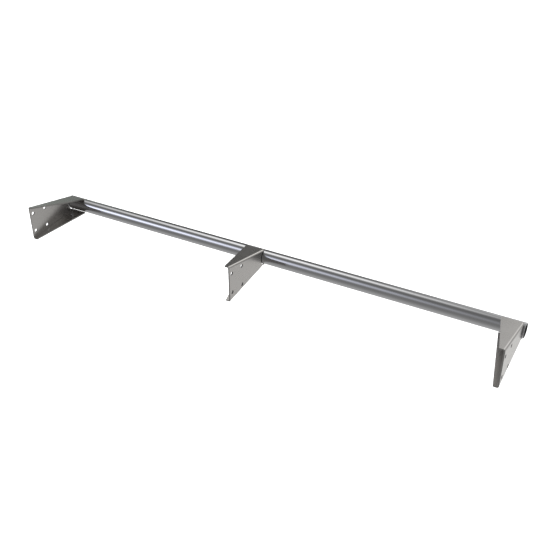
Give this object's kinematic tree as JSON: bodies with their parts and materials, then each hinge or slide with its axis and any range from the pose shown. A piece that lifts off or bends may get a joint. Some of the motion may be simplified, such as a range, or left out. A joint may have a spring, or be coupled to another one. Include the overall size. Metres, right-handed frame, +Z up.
{
  "type": "pull up bar",
  "caption": "Long round steel pull-up bar carried by folded sheet-steel brackets that bolt sideways to wall-bar uprights.",
  "frame": {"origin": "on the middle bracket's bolting face, at the centre of its four bolt holes", "axes": "+X along the tube, towards the right-hand end as seen from the wall; +Y from the wall towards the person using the bar; +Z up"},
  "size_m": [1.529, 0.2087, 0.1124],
  "materials": {
    "bar_steel": "satin polished stainless steel",
    "bracket_steel": "fine brushed stainless sheet",
    "weld_metal": "rippled weld bead, lightly tinted",
    "plug_plastic": "black moulded plastic"
  },
  "bodies": {
    "root": {"bar_tube": "bar_steel", "left_bracket": "bracket_steel", "left_top_weld": "weld_metal", "left_lower_weld": "weld_metal", "middle_bracket": "bracket_steel", "middle_top_weld": "weld_metal", "middle_lower_weld": "weld_metal", "right_bracket": "bracket_steel", "right_top_weld": "weld_metal", "right_lower_weld": "weld_metal", "left_end_plug": "plug_plastic", "right_end_plug": "plug_plastic"}
  },
  "joints": []
}
